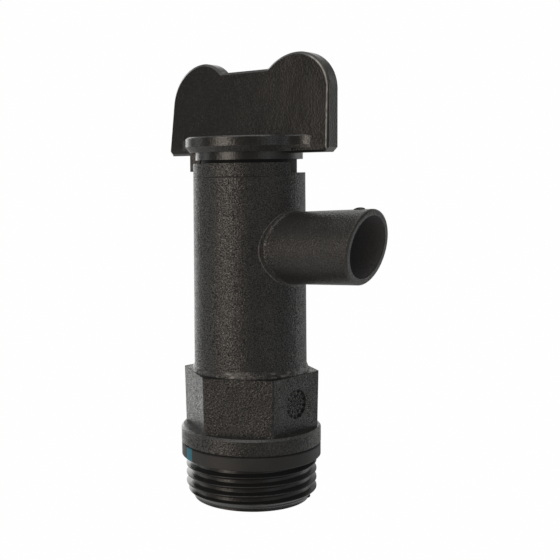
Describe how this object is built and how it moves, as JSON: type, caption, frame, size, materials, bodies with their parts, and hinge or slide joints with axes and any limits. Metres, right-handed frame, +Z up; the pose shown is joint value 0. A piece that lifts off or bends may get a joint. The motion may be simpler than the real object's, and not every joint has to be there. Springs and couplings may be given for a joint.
{
  "type": "water container tap",
  "caption": "Black plastic tap for a water container: threaded end with gasket, hexagon, upright barrel with a side spout, and a two-lobed wing handle on a turning plug.",
  "frame": {"origin": "on the thread's axis in the sealing plane under the gasket, where the tap meets the container wall", "axes": "+Z up the barrel from the thread towards the handle, +X along the side of the spout"},
  "size_m": [0.0479, 0.0282, 0.0874],
  "materials": {
    "body_plastic": "fine spark-eroded grain, black",
    "handle_plastic": "smooth satin, black",
    "ring_rubber": "smooth black",
    "gasket_rubber": "matt dark grey with a small blue paint mark"
  },
  "bodies": {
    "body": {"tap_body": "body_plastic", "flange_gasket": "gasket_rubber"},
    "handle": {"plug_handle": "handle_plastic", "upper_seal_ring": "ring_rubber", "lower_seal_ring": "ring_rubber"}
  },
  "joints": [
    {"name": "handle_turn", "type": "hinge", "parent": "body", "child": "handle", "pos_m": [0, 0, 0.05], "axis": [0, 0, 1], "range_deg": [-180, 0]}
  ]
}
